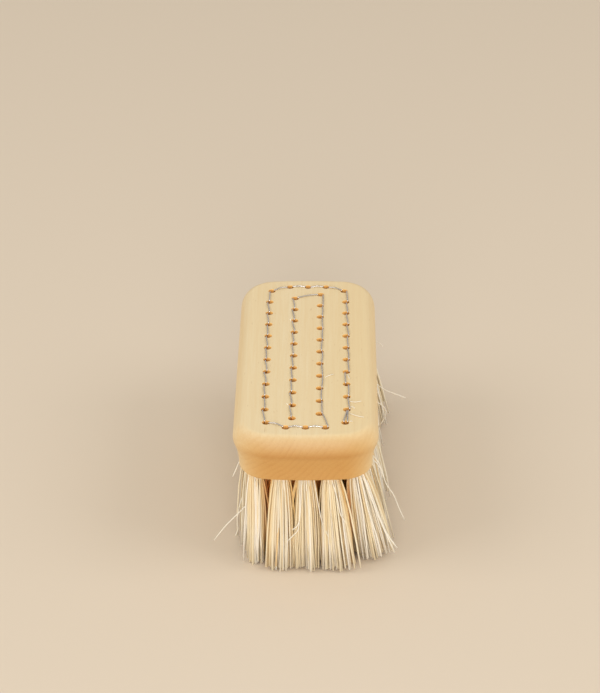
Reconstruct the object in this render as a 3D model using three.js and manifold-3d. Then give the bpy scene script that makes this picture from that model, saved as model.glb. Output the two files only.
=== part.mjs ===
// A wooden nail brush of the hand-drawn kind: a shaped birch block is drilled right through, a bundle
// of plant fibre is folded double and pulled up into each hole, and one steel wire holds them all,
// running from hole to hole along the back of the block and down under every fold.
//
// Millimetres, +Z up. The brush stands on its bristle tips at z = 0, with the block centred on the
// Z axis and its long side along Y. "Front" is the -Y end, "rear" the +Y end and "right" is +X. The
// "back" is the brush maker's word for the flat face on top, away from the bristles.
import * as THREE from "three";
import { mergeVertices } from "three/addons/utils/BufferGeometryUtils.js";
import Module from "manifold-3d";

// Driving dimensions of the block
const BLOCK_LENGTH = 96;
const BLOCK_WIDTH = 40;
const BLOCK_THICKNESS = 14;
const PLAN_CORNER_RADIUS = 9.5;
const END_BOW = 1.8; // how far the ends of the block curve back at its sides
const EDGE_ROLL_IN = 3.2; // the rounded back edge, measured across the back
const EDGE_ROLL_DROP = 5.4; // the same edge, measured down the side
const WAIST_INSET = 1.65; // how far the side runs in under the rim
const FOOT_HEIGHT = 0.8; // upright part of the side, below the inward curve
const FOOT_ROUND = 0.6;

// Driving dimensions of the drilling
const BORE_DIAMETER = 4.8; // drilled from below, holds the fibre
const WIRE_HOLE_DEPTH = 5; // narrower hole drilled on through to the back, passes the wire
const EDGE_WALL = 1.45; // wood left between an outer bore and the side of the block
const END_WALL = 1.95; // the same at the ends of the block
const FAN_FOCUS_HEIGHT = 49; // the drilled axes lean apart as if from a line this far above the back
const END_ROW_TILT = THREE.MathUtils.degToRad(3);
const END_ROW_PITCH = 5.4;
const END_ROW_BOW = 2.6; // how far the end rows stand out beyond their corner holes
const CORNER_HOLE_INSET = 0.5;
const INNER_STAGGER = 2.4; // the two inner columns are drilled this much out of step
const HOLES_PER_SIDE = 12;
const INNER_COLUMNS = 2;

// Driving dimensions of the fibre and the wire
const BRISTLE_LENGTH = 29; // below the block
const SIDE_SPLAY = 3; // outward lean of the outer columns at the tips
const END_SPLAY = 2; // outward lean of the end rows at the tips
const TIP_GAP = 0.4; // left between neighbouring tufts at the tips
const FOLD_HEIGHT = 2; // fibre above the wire
const FOLD_SHOULDER = 0.8; // rounding of the folded top
const FOLD_THICKNESS = 1.6; // fibre between the two strands of wire where they turn under it
const WIRE_DIAMETER = 0.4;
const STRAND_GAP = 0.65; // between the two strands in the narrow hole
const WIRE_HUMP = 0.3; // rise of a stitch halfway between two holes
const WIRE_TAIL = 3; // length of the wire's tucked ends, down in their holes
const FIT_CLEARANCE = 0.3; // between pieces that are drawn tight on the real brush
const WIRE_SEAT_GAP = 0.2; // under the wire where it lies on the back

// Fineness of the round shapes
const HOLE_SIDES = 12;
const TUFT_SIDES = 10;
const WIRE_SIDES = 6;
const CORNER_STEPS = 10;
const END_STEPS = 4;
const EDGE_STEPS = 6;
const MERGE_DISTANCE = 1e-4;

// Sizes that follow from those above
const BACK = BRISTLE_LENGTH + BLOCK_THICKNESS;
const BORE_RADIUS = BORE_DIAMETER / 2;
const WIRE_RADIUS = WIRE_DIAMETER / 2;
const WIRE_CHANNEL = WIRE_RADIUS + FIT_CLEARANCE; // half the room a strand needs in the fibre
const ROOT_RADIUS = BORE_RADIUS - FIT_CLEARANCE;
const ROOT_TOP_DEPTH = WIRE_HOLE_DEPTH + FIT_CLEARANCE;
const EYE_DEPTH = ROOT_TOP_DEPTH + FOLD_HEIGHT + WIRE_CHANNEL; // where the wire crosses under a fold
const STRAND_OFFSET = STRAND_GAP / 2 + WIRE_RADIUS;
const STRAND_SPREAD = FOLD_THICKNESS / 2 + WIRE_CHANNEL;
const WIRE_HOLE_RADIUS = STRAND_OFFSET + WIRE_RADIUS + FIT_CLEARANCE;
const WIRE_LIFT = WIRE_RADIUS + WIRE_SEAT_GAP;

// Where the holes come out on the back
const FAN_AT_MOUTH = 1 + BLOCK_THICKNESS / FAN_FOCUS_HEIGHT;
const SIDE_INSET = WAIST_INSET + EDGE_WALL + BORE_RADIUS;
const END_INSET = WAIST_INSET + END_WALL + BORE_RADIUS;
const OUTER_X = (BLOCK_WIDTH / 2 - SIDE_INSET) / FAN_AT_MOUTH;
const CORNER_X = OUTER_X - CORNER_HOLE_INSET;
const END_Y = BLOCK_LENGTH / 2 - END_INSET - BLOCK_THICKNESS * Math.tan(END_ROW_TILT);
const CORNER_Y = END_Y - END_ROW_BOW;
const ROW_PITCH = (2 * CORNER_Y) / (HOLES_PER_SIDE - 1);
const COLUMN_PITCH = (2 * OUTER_X) / (INNER_COLUMNS + 1);
const END_ROW_HOLES = Math.max(1, Math.round((2 * CORNER_X) / END_ROW_PITCH) - 1);

const wasm = await Module();
wasm.setup();

/** A closed three.js geometry as a solid that can be cut. */
function solidFrom(geometry) {
  const bare = new THREE.BufferGeometry();
  bare.setAttribute("position", geometry.getAttribute("position"));
  bare.setIndex(geometry.getIndex());
  const merged = mergeVertices(bare, MERGE_DISTANCE);
  const triVerts = [];
  for (let i = 0; i < merged.index.count; i += 3) {
    const [a, b, c] = merged.index.array.subarray(i, i + 3);
    if (a !== b && b !== c && c !== a) triVerts.push(a, b, c);
  }
  const vertProperties = merged.getAttribute("position").array;
  return new wasm.Manifold(
    new wasm.Mesh({ numProp: 3, vertProperties, triVerts: new Uint32Array(triVerts) }),
  );
}

/** A solid back as a three.js geometry. */
function geometryFrom(solid) {
  const { vertProperties, triVerts } = solid.getMesh();
  const geometry = new THREE.BufferGeometry();
  geometry.setAttribute("position", new THREE.BufferAttribute(vertProperties, 3));
  geometry.setIndex(new THREE.BufferAttribute(triVerts, 1));
  geometry.computeVertexNormals();
  return geometry;
}

// The drilled pattern: an outer ring with bowed ends and the inner columns inside it. Each hole knows
// the slope of its axis, as sideways travel per millimetre of depth, and the lean of its tuft at the tips.

/** A hole that comes out on the back at x, y; the holes at the two ends of the block tilt outwards too. */
function makeHole(name, x, y, atEnd = false) {
  const endSign = atEnd ? Math.sign(y) : 0;
  return {
    name,
    back: new THREE.Vector2(x, y),
    slope: new THREE.Vector2(x / FAN_FOCUS_HEIGHT, endSign * Math.tan(END_ROW_TILT)),
    lean: new THREE.Vector2((SIDE_SPLAY * x) / OUTER_X, endSign * END_SPLAY),
  };
}

function numbered(stem, index) {
  return `tuft_${stem}_${String(index + 1).padStart(2, "0")}`;
}

/** One side of the outer ring, from front to back; its first and last holes are the ring's corners. */
function sideColumn(stem, side) {
  return Array.from({ length: HOLES_PER_SIDE }, (_, i) => {
    const corner = i === 0 || i === HOLES_PER_SIDE - 1;
    const x = side * (corner ? CORNER_X : OUTER_X);
    return makeHole(numbered(stem, i), x, i * ROW_PITCH - CORNER_Y, corner);
  });
}

/** The holes between two corners at one end, from left to right. */
function endRow(stem, end) {
  const pitch = (2 * CORNER_X) / (END_ROW_HOLES + 1);
  return Array.from({ length: END_ROW_HOLES }, (_, i) =>
    makeHole(numbered(stem, i), (i + 1) * pitch - CORNER_X, end * END_Y, true),
  );
}

/** An inner column, from front to back, half a pitch in from the corners. */
function innerColumn(column) {
  const x = OUTER_X - (column + 1) * COLUMN_PITCH;
  const shift = (Math.sign(x) * INNER_STAGGER) / 2;
  return Array.from({ length: HOLES_PER_SIDE - 1 }, (_, i) =>
    makeHole(numbered(`inner_${column + 1}`, i), x, (i + 0.5) * ROW_PITCH - CORNER_Y + shift),
  );
}

// In the order that the wire visits them: along the right side to the rear, across, along the left side
// to the front, across, then to the rear and to the front again along the inner columns.
const innerRoute = Array.from({ length: INNER_COLUMNS }, (_, column) =>
  column % 2 === 0 ? innerColumn(column) : innerColumn(column).reverse(),
);
const holes = [
  ...sideColumn("right", 1),
  ...endRow("rear", 1).reverse(),
  ...sideColumn("left", -1).reverse(),
  ...endRow("front", -1),
  ...innerRoute.flat(),
];

// The wire crosses under each fold along the line from the hole before to the hole after. In the first
// hole it crosses from left to right instead, because both of its strands run back to the second hole.
holes.forEach((hole, i) => {
  const before = holes[Math.max(i - 1, 0)].back;
  const after = holes[Math.min(i + 1, holes.length - 1)].back;
  hole.crossing = i === 0 ? new THREE.Vector2(1, 0) : after.clone().sub(before).normalize();
});

/** A point in or over a hole: along and across the wire's crossing, and down its slanting axis. */
function inHole(hole, along, across, depth) {
  const { back, slope, crossing } = hole;
  return new THREE.Vector3(
    back.x + slope.x * depth + crossing.x * along - crossing.y * across,
    back.y + slope.y * depth + crossing.y * along + crossing.x * across,
    BACK - depth,
  );
}

/** The wire's corners in one hole: in over the rim, down, under the fold, up and out. */
function loopInHole(hole) {
  return [
    inHole(hole, -STRAND_OFFSET, 0, -WIRE_LIFT),
    inHole(hole, -STRAND_OFFSET, 0, WIRE_HOLE_DEPTH),
    inHole(hole, -STRAND_SPREAD, 0, EYE_DEPTH),
    inHole(hole, STRAND_SPREAD, 0, EYE_DEPTH),
    inHole(hole, STRAND_OFFSET, 0, WIRE_HOLE_DEPTH),
    inHole(hole, STRAND_OFFSET, 0, -WIRE_LIFT),
  ];
}

// The birch block

/** A rounded rectangle with bowed ends round the block, drawn in from its rim by inset. */
function planOutline(inset) {
  const radius = PLAN_CORNER_RADIUS - inset;
  const x = BLOCK_WIDTH / 2 - PLAN_CORNER_RADIUS;
  const y = BLOCK_LENGTH / 2 - PLAN_CORNER_RADIUS;
  const quarter = Math.PI / 2;
  const corners = [[x, y], [-x, y], [-x, -y], [x, -y]];
  const outline = corners.flatMap(([cx, cy], k) => {
    const arc = new THREE.EllipseCurve(cx, cy, radius, radius, k * quarter, (k + 1) * quarter);
    const turn = arc.getPoints(CORNER_STEPS);
    if (k % 2 === 1) return turn;
    const { x: from, y: level } = turn.at(-1);
    const end = new THREE.LineCurve(turn.at(-1), new THREE.Vector2(-from, level));
    return [...turn, ...end.getPoints(END_STEPS).slice(1, -1)];
  });
  outline.forEach((p) => {
    p.y -= Math.sign(p.y) * END_BOW * ((2 * p.x) / BLOCK_WIDTH) ** 2;
  });
  return outline;
}

/** The block's edge from its underside to its back, as points of (inset from the rim, height). */
function edgeProfile() {
  const rimHeight = BLOCK_THICKNESS - EDGE_ROLL_DROP;
  const flankReach = (rimHeight - FOOT_HEIGHT) / 2;
  const quarter = Math.PI / 2;
  const foot = new THREE.EllipseCurve(
    WAIST_INSET + FOOT_ROUND, FOOT_ROUND, FOOT_ROUND, FOOT_ROUND, -quarter, -Math.PI, true,
  );
  const flank = new THREE.CubicBezierCurve(
    new THREE.Vector2(WAIST_INSET, FOOT_HEIGHT),
    new THREE.Vector2(WAIST_INSET, FOOT_HEIGHT + flankReach),
    new THREE.Vector2(0, rimHeight - flankReach),
    new THREE.Vector2(0, rimHeight),
  );
  const roll = new THREE.EllipseCurve(
    EDGE_ROLL_IN, rimHeight, EDGE_ROLL_IN, EDGE_ROLL_DROP, Math.PI, quarter, true,
  );
  return [
    ...foot.getPoints(EDGE_STEPS / 2),
    ...flank.getPoints(EDGE_STEPS),
    ...roll.getPoints(EDGE_STEPS).slice(1),
  ];
}

/** Closed rings of points, one above another, joined into a skin with a flat lid at each end. */
function loft(rings) {
  const count = rings[0].length;
  const position = rings.flat().flatMap((p) => [p.x, p.y, p.z]);
  const index = [];
  for (let ring = 0; ring + 1 < rings.length; ring++) {
    for (let i = 0; i < count; i++) {
      const [a, b] = [ring * count + i, ring * count + ((i + 1) % count)];
      index.push(a, b, b + count, a, b + count, a + count);
    }
  }
  const last = (rings.length - 1) * count;
  const lid = THREE.ShapeUtils.triangulateShape(rings[0].map((p) => new THREE.Vector2(p.x, p.y)), []);
  lid.forEach(([a, b, c]) => index.push(a, c, b, last + a, last + b, last + c));
  const geometry = new THREE.BufferGeometry();
  geometry.setAttribute("position", new THREE.Float32BufferAttribute(position, 3));
  geometry.setIndex(index);
  return geometry;
}

/** Leans a shape, drawn upright with the back of the block at z = 0, along a hole's axis. */
function slant(geometry, hole) {
  return geometry.applyMatrix4(new THREE.Matrix4().makeShear(0, 0, 0, 0, -hole.slope.x, -hole.slope.y));
}

/** A round hole along a slanting axis, between two depths below the back. */
function drill(hole, radius, fromDepth, toDepth) {
  const geometry = new THREE.CylinderGeometry(radius, radius, toDepth - fromDepth, HOLE_SIDES);
  geometry.rotateX(Math.PI / 2);
  geometry.translate(0, 0, -(fromDepth + toDepth) / 2);
  return solidFrom(slant(geometry, hole).translate(hole.back.x, hole.back.y, BACK));
}

function makeBlock() {
  const rings = edgeProfile().map(({ x: inset, y: height }) =>
    planOutline(inset).map((p) => new THREE.Vector3(p.x, p.y, BRISTLE_LENGTH + height)),
  );
  const runOut = WIRE_HOLE_RADIUS; // each drill starts and ends this far outside the wood
  const drilled = holes.flatMap((hole) => [
    drill(hole, WIRE_HOLE_RADIUS, -runOut, WIRE_HOLE_DEPTH + FIT_CLEARANCE),
    drill(hole, BORE_RADIUS, WIRE_HOLE_DEPTH, BLOCK_THICKNESS + runOut),
  ]);
  const blank = solidFrom(loft(rings));
  return geometryFrom(blank.subtract(wasm.Manifold.union(drilled)));
}

// The tufts

const MOUTH_DEPTH = BLOCK_THICKNESS;
const TIP_DEPTH = BACK;

/** How far a tuft's middle has moved sideways at a depth: along its bore first, then out to its tip. */
function tuftDrift(hole, depth) {
  const free = Math.max(0, (depth - MOUTH_DEPTH) / BRISTLE_LENGTH);
  return hole.slope.clone().multiplyScalar(Math.min(depth, MOUTH_DEPTH)).addScaledVector(hole.lean, free);
}

/** The shortest distance between the middles of any two tufts at their tips. */
function closestTips() {
  const tips = holes.map((hole) => hole.back.clone().add(tuftDrift(hole, TIP_DEPTH)));
  return Math.min(...tips.flatMap((a, i) => tips.slice(i + 1).map((b) => a.distanceTo(b))));
}

const TIP_RADIUS = (closestTips() - TIP_GAP) / 2;

/** The room that the wire takes in a tuft: a slot round both strands and their turn under the fold. */
function wireRoom(hole) {
  const outerTop = STRAND_OFFSET + WIRE_CHANNEL;
  const outerTurn = STRAND_SPREAD + WIRE_CHANNEL;
  const innerTop = STRAND_OFFSET - WIRE_CHANNEL;
  const innerTurn = STRAND_SPREAD - WIRE_CHANNEL;
  const half = [
    [innerTop, -WIRE_HOLE_DEPTH],
    [outerTop, -WIRE_HOLE_DEPTH],
    [outerTurn, -EYE_DEPTH],
    [outerTurn, -(EYE_DEPTH + WIRE_CHANNEL)],
  ];
  const otherHalf = half.map(([along, z]) => [-along, z]).reverse();
  const fold = [[-innerTurn, WIRE_CHANNEL - EYE_DEPTH], [innerTurn, WIRE_CHANNEL - EYE_DEPTH]];
  const outline = [...half, ...otherHalf, ...fold].map(([along, z]) => new THREE.Vector2(along, z));
  const room = new THREE.ExtrudeGeometry(new THREE.Shape(outline), {
    depth: 2 * WIRE_CHANNEL,
    bevelEnabled: false,
  });
  room.translate(0, 0, -WIRE_CHANNEL).rotateX(Math.PI / 2).rotateZ(hole.crossing.angle());
  return solidFrom(slant(room, hole));
}

/** A folded bundle of fibre: a root that fills its bore, opening out to the trimmed tips. */
function makeTuft(hole) {
  const profile = [
    [0, -TIP_DEPTH],
    [TIP_RADIUS, -TIP_DEPTH],
    [ROOT_RADIUS, -MOUTH_DEPTH],
    [ROOT_RADIUS, -(ROOT_TOP_DEPTH + FOLD_SHOULDER)],
    [ROOT_RADIUS - FOLD_SHOULDER, -ROOT_TOP_DEPTH],
    [0, -ROOT_TOP_DEPTH],
  ].map(([r, z]) => new THREE.Vector2(r, z));
  const bundle = new THREE.LatheGeometry(profile, TUFT_SIDES).rotateX(Math.PI / 2);
  const position = bundle.getAttribute("position");
  for (let i = 0; i < position.count; i++) {
    const drift = tuftDrift(hole, -position.getZ(i));
    position.setX(i, position.getX(i) + drift.x);
    position.setY(i, position.getY(i) + drift.y);
  }
  return geometryFrom(solidFrom(bundle).subtract(wireRoom(hole)));
}

// The wire

/** A path through given corners that is stepped at those corners and nowhere else. */
class CornerPath extends THREE.Curve {
  constructor(corners) {
    super();
    this.corners = corners;
  }

  getPoint(t, target = new THREE.Vector3()) {
    const last = this.corners.length - 1;
    const i = Math.min(Math.floor(t * last), last - 1);
    return target.lerpVectors(this.corners[i], this.corners[i + 1], t * last - i);
  }

  getPointAt(t, target) {
    return this.getPoint(t, target);
  }

  getTangentAt(t, target = new THREE.Vector3()) {
    const last = this.corners.length - 1;
    const i = Math.round(t * last);
    const arriving = this.corners[i].clone().sub(this.corners[Math.max(i - 1, 0)]).normalize();
    const leaving = this.corners[Math.min(i + 1, last)].clone().sub(this.corners[i]).normalize();
    return target.addVectors(arriving, leaving).normalize();
  }
}

/** The top of a stitch, halfway between two corners on the back. */
function hump(from, to) {
  return from.clone().add(to).multiplyScalar(0.5).add(new THREE.Vector3(0, 0, WIRE_HUMP));
}

/** The whole wire: tucked into the second hole, over to the first, then from hole to hole in order. */
function wireRoute() {
  const [, second] = holes;
  const route = [
    inHole(second, 0, STRAND_OFFSET, WIRE_TAIL),
    inHole(second, 0, STRAND_OFFSET, -WIRE_LIFT),
  ];
  for (const hole of holes) {
    const loop = loopInHole(hole);
    route.push(hump(route.at(-1), loop[0]), ...loop);
  }
  const lastHole = holes.at(-1);
  route[route.length - 1] = inHole(lastHole, STRAND_OFFSET, 0, WIRE_HOLE_DEPTH - WIRE_TAIL);
  return route;
}

function makeWire() {
  const corners = wireRoute();
  const section = new THREE.Shape(
    new THREE.EllipseCurve(0, 0, WIRE_RADIUS, WIRE_RADIUS).getPoints(WIRE_SIDES).slice(0, WIRE_SIDES),
  );
  return new THREE.ExtrudeGeometry(section, {
    steps: corners.length - 1,
    extrudePath: new CornerPath(corners),
  });
}

// The brush

const birch = new THREE.MeshStandardMaterial({ color: 0xe6cea0, roughness: 0.55, metalness: 0 });
const tampico = new THREE.MeshStandardMaterial({ color: 0xdec79f, roughness: 0.75, metalness: 0 });
const steel = new THREE.MeshStandardMaterial({ color: 0xb4b2b0, roughness: 0.3, metalness: 1 });

function addPiece(group, name, geometry, material) {
  const piece = new THREE.Mesh(geometry, material);
  piece.name = name;
  group.add(piece);
  return piece;
}

const brush = new THREE.Group();
addPiece(brush, "birch_block", makeBlock(), birch);
addPiece(brush, "drawing_wire", makeWire(), steel);
const tufts = new THREE.Group();
brush.add(tufts);
for (const hole of holes) {
  addPiece(tufts, hole.name, makeTuft(hole), tampico).position.set(hole.back.x, hole.back.y, BACK);
}

export default brush;
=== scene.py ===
"""The looks of a wire-drawn nail brush: a birch block, fifty-two tufts of plant fibre and one steel wire.

Metres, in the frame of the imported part: the brush stands on its bristle tips at z = 0 with its long side
along Y. "Front" is the -Y end, "right" is +X, and the "back" is the flat face on top, away from the
bristles.
"""

import bpy
import numpy as np
from mathutils import Matrix, Vector
from mathutils.geometry import delaunay_2d_cdt


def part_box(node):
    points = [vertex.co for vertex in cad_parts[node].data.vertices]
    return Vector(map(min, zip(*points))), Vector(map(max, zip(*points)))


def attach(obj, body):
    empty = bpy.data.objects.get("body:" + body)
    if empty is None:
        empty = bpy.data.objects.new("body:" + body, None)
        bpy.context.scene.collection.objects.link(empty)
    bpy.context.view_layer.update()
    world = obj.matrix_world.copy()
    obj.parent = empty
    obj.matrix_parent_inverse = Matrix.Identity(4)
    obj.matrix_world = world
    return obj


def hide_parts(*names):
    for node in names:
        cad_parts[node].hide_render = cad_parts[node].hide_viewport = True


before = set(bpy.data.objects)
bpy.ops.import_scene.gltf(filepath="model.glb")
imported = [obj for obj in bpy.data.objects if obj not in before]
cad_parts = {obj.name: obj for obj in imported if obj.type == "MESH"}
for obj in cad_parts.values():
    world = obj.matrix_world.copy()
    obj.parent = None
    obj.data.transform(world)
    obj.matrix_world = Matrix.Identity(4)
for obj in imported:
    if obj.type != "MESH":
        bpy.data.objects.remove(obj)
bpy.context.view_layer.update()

# The drilling
# The block is drilled along slanting lines that fan out below it: an outer ring of holes with bowed ends,
# and two inner columns. From below, each hole is a wide bore for a tuft. A narrow hole for the wire goes on
# from there through the back.

MM = 0.001
block_low, block_high = (np.array(corner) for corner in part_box("birch_block"))
half_width, half_length, back = block_high
underside = block_low[2]
thickness = back - underside

waist_inset = 1.65 * MM  # from the rim in to the foot of the flanks
bore_radius = 2.4 * MM
wire_hole_radius = 1.025 * MM
wire_hole_depth = 5 * MM
side_wall = 1.45 * MM  # wood between a bore and the foot of the flank
end_wall = 1.95 * MM
fan_focus = 49 * MM  # above the back, where the lines of the columns would meet
end_tilt = np.tan(np.radians(3))
holes_per_side = 12
end_row_holes = 3
corner_draw_in = 0.5 * MM  # of the corner holes from the line of their column
end_row_bow = 2.6 * MM  # of an end row beyond the corner holes
inner_stagger = 2.4 * MM  # by which the two inner columns are out of step
outer_tolerance = 0.5 * MM  # holes at most this much further in than a corner hole are outer ones

outer_x = (half_width - waist_inset - side_wall - bore_radius) / (1 + thickness / fan_focus)
corner_x = outer_x - corner_draw_in
end_y = half_length - waist_inset - end_wall - bore_radius - thickness * end_tilt
corner_y = end_y - end_row_bow
row_pitch = 2 * corner_y / (holes_per_side - 1)


def numbered(stem, count):
    """The names of a row of tufts, counted from 01."""
    return [f"tuft_{stem}_{i + 1:02d}" for i in range(count)]


def side_column(side):
    """Holes along one side from front to rear: evenly spaced, the two corner ones drawn in a little."""
    y = np.linspace(-corner_y, corner_y, holes_per_side)
    x = np.full(holes_per_side, side * outer_x)
    x[[0, -1]] = side * corner_x
    return np.stack([x, y], -1)


def end_row(end):
    """Holes between the two corners of one end, from left to right, evenly spaced on a line beyond them."""
    x = np.linspace(-corner_x, corner_x, end_row_holes + 2)[1:-1]
    return np.stack([x, np.full(end_row_holes, end * end_y)], -1)


def inner_column(side):
    """Holes of an inner column from front to rear, a third of the way out: half a pitch in from the corners,
    then moved by half the stagger, the two columns opposite ways."""
    y = (np.arange(holes_per_side - 1) + 0.5) * row_pitch - corner_y + side * inner_stagger / 2
    return np.stack([np.full(y.size, side * outer_x / 3), y], -1)


# In the order in which the wire visits them
tuft_names = (
    numbered("right", holes_per_side)
    + numbered("rear", end_row_holes)[::-1]
    + numbered("left", holes_per_side)[::-1]
    + numbered("front", end_row_holes)
    + numbered("inner_1", holes_per_side - 1)
    + numbered("inner_2", holes_per_side - 1)[::-1]
)
hole_back = np.concatenate([
    side_column(1),
    end_row(1)[::-1],
    side_column(-1)[::-1],
    end_row(-1),
    inner_column(1),
    inner_column(-1)[::-1],
])
hole_count = len(hole_back)
at_side = np.abs(hole_back[:, 0]) > corner_x - outer_tolerance
at_end = np.abs(hole_back[:, 1]) > corner_y - outer_tolerance
# How far each hole goes sideways, as a share of its depth
hole_slope = np.stack([hole_back[:, 0] / fan_focus, at_end * np.sign(hole_back[:, 1]) * end_tilt], -1)

# The birch block
# One piece of birch with slightly bowed ends, moulded round its edge: a rolled back, and flanks drawn in
# below it for the fingers. It is sanded and oiled. The end grain drinks more oil, so the short ends are a
# deeper colour. Painted shade and warm bounce light are added on the ends and the rolled edges, and a band
# of painted shade under the rolled edge of the ends.

corner_radius = 9.5 * MM
end_bow = 1.8 * MM
roll_in = 3.2 * MM
roll_drop = 5.4 * MM
foot_height = 0.8 * MM
foot_round = 0.6 * MM
foot_handle = 0.62  # how far the flank's curve is drawn straight up from the foot, as a share of its height
rim_handle = 0.18  # and how far it is drawn straight down from the rim
broken_edge = 0.12 * MM  # round on the edges of the holes
flat_margin = 0.15 * MM  # flat ring beside a rounded edge, which keeps its shading clean
shoulder_drop = 0.7 * MM  # depth of the cone between the wire hole and the bore
sharp_edge = np.radians(40)  # from this angle on, an edge is shaded as a sharp one

foot_steps = 7
flank_steps = 17
roll_steps = 17
corner_steps = 15
end_steps = 11
broken_edge_steps = 4
hole_sides = 24

edge_tint_power = 1.3  # the tint of the rolled edge, partly wood tone and partly painted shade and warm bounce light, grows with its slope
side_tint_loss = 0.8  # share of that tint and painted shade which the long sides lack
end_tint_power = 1.5
rim_shade_drop = 0.2 * MM  # below the rim, the middle of a band of painted shade on the short ends
rim_shade_width = 1.1 * MM


def quarter_turn(steps):
    """Sine and cosine of an angle that swings evenly through a quarter turn."""
    angle = np.linspace(0, np.pi / 2, steps)
    return np.sin(angle), np.cos(angle)


def edge_profile():
    """The block's edge from its underside to its back, as rows of (inset from the rim, height): a quarter
    circle round the foot, a cubic curve with upright ends up the flank, a quarter ellipse over the rolled
    edge, and a flat margin before and after."""
    rim_height = thickness - roll_drop
    upright_from_foot = foot_height + foot_handle * (rim_height - foot_height)
    upright_from_rim = rim_height - rim_handle * (rim_height - foot_height)
    sine, cosine = quarter_turn(foot_steps)
    foot = np.stack([waist_inset + foot_round * (1 - sine), foot_round * (1 - cosine)], -1)
    t = np.linspace(0, 1, flank_steps)
    flank = np.stack([
        waist_inset * (1 - t) ** 2 * (1 + 2 * t),
        foot_height * (1 - t) ** 3 + 3 * upright_from_foot * t * (1 - t) ** 2
        + 3 * upright_from_rim * t ** 2 * (1 - t) + rim_height * t ** 3,
    ], -1)
    sine, cosine = quarter_turn(roll_steps)
    roll = np.stack([roll_in * (1 - cosine), rim_height + roll_drop * sine], -1)[1:]
    below = foot[:1] + [flat_margin, 0]
    above = roll[-1:] + [flat_margin, 0]
    return np.concatenate([below, foot, flank, roll, above])


def plan_ring(inset):
    """A rounded rectangle drawn in from the rim by each inset: the middle of each corner, plus the corner
    radius less the inset along a direction that swings through a quarter turn, with evenly spaced points
    along the two ends. The ends are then bowed: every point is drawn in by the square of its distance from
    the middle line."""
    angle = (np.arange(4)[:, None] + np.linspace(0, 1, corner_steps)) * np.pi / 2
    arm = np.stack([np.cos(angle), np.sin(angle)], -1)
    signs = np.array([[1, 1], [-1, 1], [-1, -1], [1, -1]])
    middle = signs * (np.array([half_width, half_length]) - corner_radius)
    arcs = middle[:, None] + (corner_radius - inset[:, None, None, None]) * arm
    share = np.linspace(0, 1, end_steps + 2)[1:-1, None]
    rear, front = (arcs[:, i, -1:] * (1 - share) + arcs[:, i + 1, :1] * share for i in (0, 2))
    ring = np.concatenate([arcs[:, 0], rear, arcs[:, 1], arcs[:, 2], front, arcs[:, 3]], 1)
    ring[..., 1] -= np.sign(ring[..., 1]) * end_bow * (ring[..., 0] / half_width) ** 2
    return ring


def block_skin():
    """The outside of the block: the plan ring at each inset and height of the edge profile."""
    inset, height = edge_profile().T
    ring = plan_ring(inset)
    level = np.broadcast_to(underside + height[:, None, None], ring.shape[:2] + (1,))
    return np.concatenate([ring, level], -1)


def drilled_profile():
    """The wall of a hole from the back to the underside, as rows of (radius, depth): a small round on the
    wire hole's edge, straight down, a cone out to the bore's radius, straight down, and a round at the
    mouth, with a flat margin before and after."""
    sine, cosine = quarter_turn(broken_edge_steps)
    top = np.stack([wire_hole_radius + broken_edge * (1 - sine), broken_edge * (1 - cosine)], -1)
    mouth = np.stack([bore_radius + broken_edge * (1 - cosine), thickness - broken_edge * (1 - sine)], -1)
    step = [[wire_hole_radius, wire_hole_depth], [bore_radius, wire_hole_depth + shoulder_drop]]
    return np.concatenate([top[:1] + [flat_margin, 0], top, step, mouth, mouth[-1:] + [flat_margin, 0]])


def drilled_walls():
    """Each hole's profile turned about its slanting axis: a circle at each depth, moved by the slope."""
    radius, depth = drilled_profile().T
    angle = np.arange(hole_sides) * 2 * np.pi / hole_sides
    arm = np.stack([np.cos(angle), np.sin(angle)], -1)
    middle = hole_back[:, None] + hole_slope[:, None] * depth[:, None]
    ring = middle[:, :, None] + radius[:, None, None] * arm
    level = np.broadcast_to(back - depth[:, None, None], ring.shape[:3] + (1,))
    return np.concatenate([ring, level], -1)


def point_numbers(points, start=0):
    """The numbers of a grid of points in the grid's own shape, counted from start."""
    return start + np.arange(points[..., 0].size).reshape(points.shape[:-1])


def wall_faces(numbers):
    """Four-cornered faces between neighbouring rings of a grid of point numbers, closed round each ring."""
    after = np.roll(numbers, -1, axis=-1)
    corners = [numbers[..., :-1, :], after[..., :-1, :], after[..., 1:, :], numbers[..., 1:, :]]
    return np.stack(corners, -1).reshape(-1, 4)


def flat_face(points, outline, rings):
    """Triangles of a flat face between its convex outline and the rings of its holes: all those that join
    the loops into one sheet, less those whose middle lies inside a ring."""
    fill_hull = 0  # the kind of answer: triangles that fill the outline's hull
    merge_within = 1e-4  # millimetres
    inside_share = 0.985  # of a ring's radius
    loops = [outline, *rings]
    numbers = np.concatenate(loops)
    starts = np.cumsum([0] + [len(loop) for loop in loops[:-1]])
    edges = np.concatenate([
        start + np.stack([np.arange(len(loop)), np.roll(np.arange(len(loop)), -1)], -1)
        for start, loop in zip(starts, loops)
    ])
    plan = points[numbers, :2] / MM
    corners = [Vector(corner) for corner in plan]
    _, _, triangles, origin, _, _ = delaunay_2d_cdt(corners, edges.tolist(), [], fill_hull, merge_within)
    triangles = np.array([one[0] for one in origin])[np.array(triangles)]
    middle = plan[triangles].mean(1)
    ring_plan = points[rings, :2] / MM
    centre = ring_plan.mean(1)
    radius = np.linalg.norm(ring_plan[:, 0] - centre, axis=-1)
    inside = np.linalg.norm(middle[:, None] - centre, axis=-1) < inside_share * radius
    return numbers[triangles[~inside.any(1)]]


def new_object(name, points, faces, material):
    """A smooth-shaded mesh object at the origin, with its place in its points."""
    mesh = bpy.data.meshes.new(name)
    mesh.from_pydata(points.reshape(-1, 3), [], faces)
    mesh.shade_smooth()
    mesh.materials.append(material)
    piece = bpy.data.objects.new(name, mesh)
    bpy.context.scene.collection.objects.link(piece)
    return piece


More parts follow.
